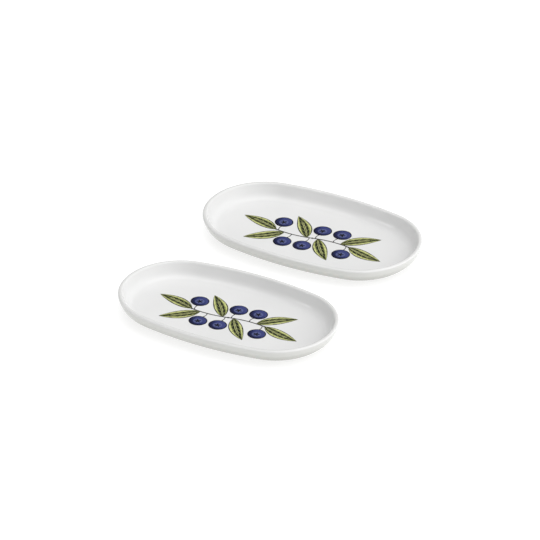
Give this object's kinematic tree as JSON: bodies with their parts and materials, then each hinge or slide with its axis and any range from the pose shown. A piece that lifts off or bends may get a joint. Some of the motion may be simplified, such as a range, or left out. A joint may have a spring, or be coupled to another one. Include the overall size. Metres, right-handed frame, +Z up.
{
  "type": "olive dish",
  "caption": "Shallow oval glazed stoneware olive dishes, a matching set, each with a soft-edged lip, coved well, printed leaf and berry spray and bare foot ring.",
  "frame": {"origin": "on the table, midway between the two dishes", "axes": "+Z up, +X along the dishes, +Y from the front dish to the rear dish"},
  "size_m": [0.16, 0.213, 0.015],
  "materials": {
    "bare_stoneware": "matt fired clay",
    "white_glaze": "glossy white glaze",
    "ink_enamel": "fired black line print",
    "leaf_enamel": "fired yellow-green print with dark brushwork",
    "berry_enamel": "fired cobalt blue print"
  },
  "bodies": {
    "front_dish": {"front_dish_body": "bare_stoneware", "front_glaze_coat": "white_glaze", "front_base_glaze": "white_glaze", "front_stem_print": "ink_enamel", "front_leaf_print": "leaf_enamel", "front_berry_print": "berry_enamel"},
    "rear_dish": {"rear_dish_body": "bare_stoneware", "rear_glaze_coat": "white_glaze", "rear_base_glaze": "white_glaze", "rear_stem_print": "ink_enamel", "rear_leaf_print": "leaf_enamel", "rear_berry_print": "berry_enamel"}
  },
  "joints": [
    {"name": "rear_dish_lift", "type": "slide", "parent": "front_dish", "child": "rear_dish", "axis": [0, 0, 1], "range_m": [0, 0.12]}
  ]
}
